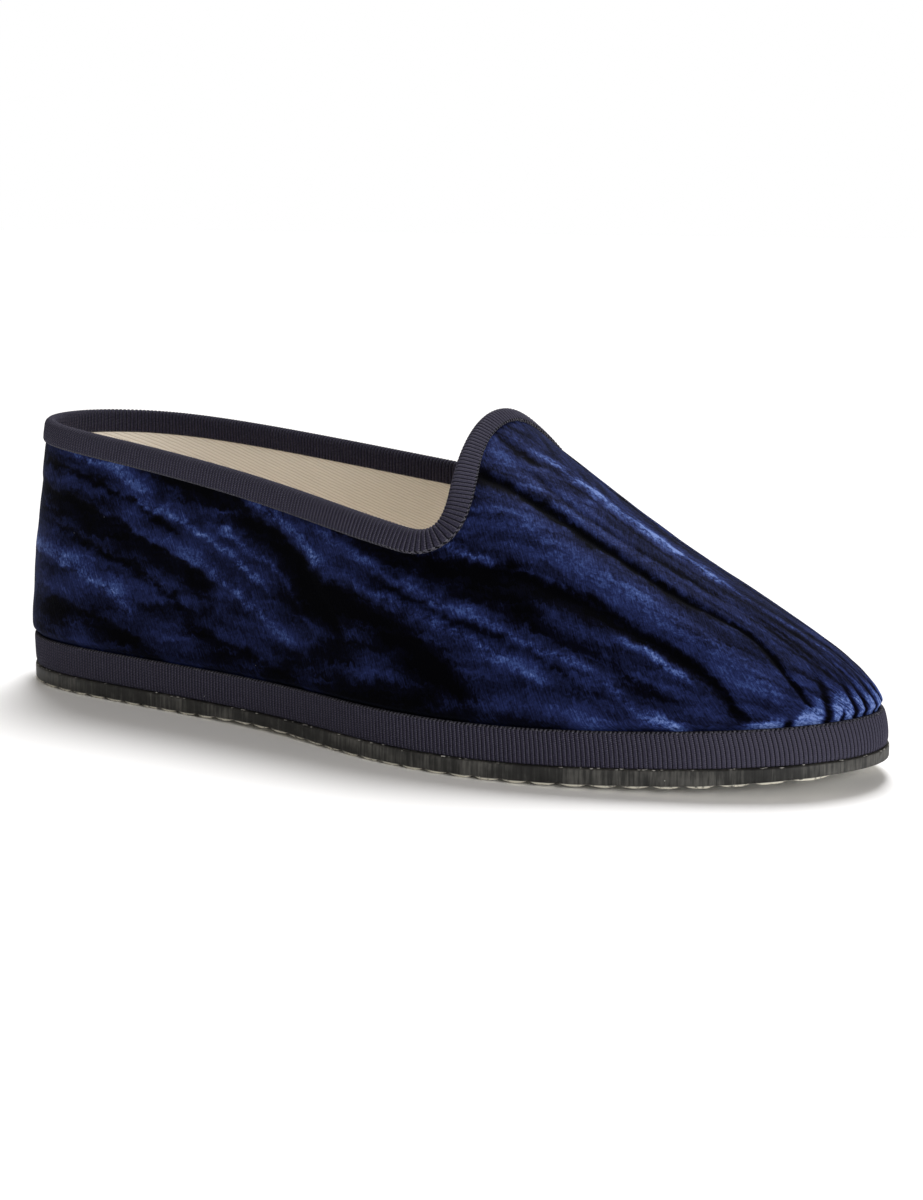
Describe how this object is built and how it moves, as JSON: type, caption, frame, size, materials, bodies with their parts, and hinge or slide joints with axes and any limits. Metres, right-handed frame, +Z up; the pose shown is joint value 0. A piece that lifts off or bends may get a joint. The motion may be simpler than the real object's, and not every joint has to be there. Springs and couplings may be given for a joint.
{
  "type": "velvet slipper",
  "caption": "Flat slip-on house shoe for the right foot: crushed velvet upper with a raised throat, twill lining, grosgrain collar tape and sole band, and a thin ribbed rubber outsole.",
  "frame": {"origin": "on the floor, under the middle of the slipper's box", "axes": "+X from heel to toe, +Y towards the inner side of the right foot, +Z up from the floor"},
  "size_m": [0.2504, 0.0866, 0.0807],
  "materials": {
    "rubber": "matt, cut edge",
    "insole_twill": "cotton twill",
    "velvet": "crushed velvet outside, cotton twill lining inside",
    "grosgrain": "ribbed tape"
  },
  "bodies": {
    "root": {"outsole": "rubber", "insole": "insole_twill", "upper": "velvet", "foxing_band": "grosgrain", "collar_binding": "grosgrain"}
  },
  "joints": []
}
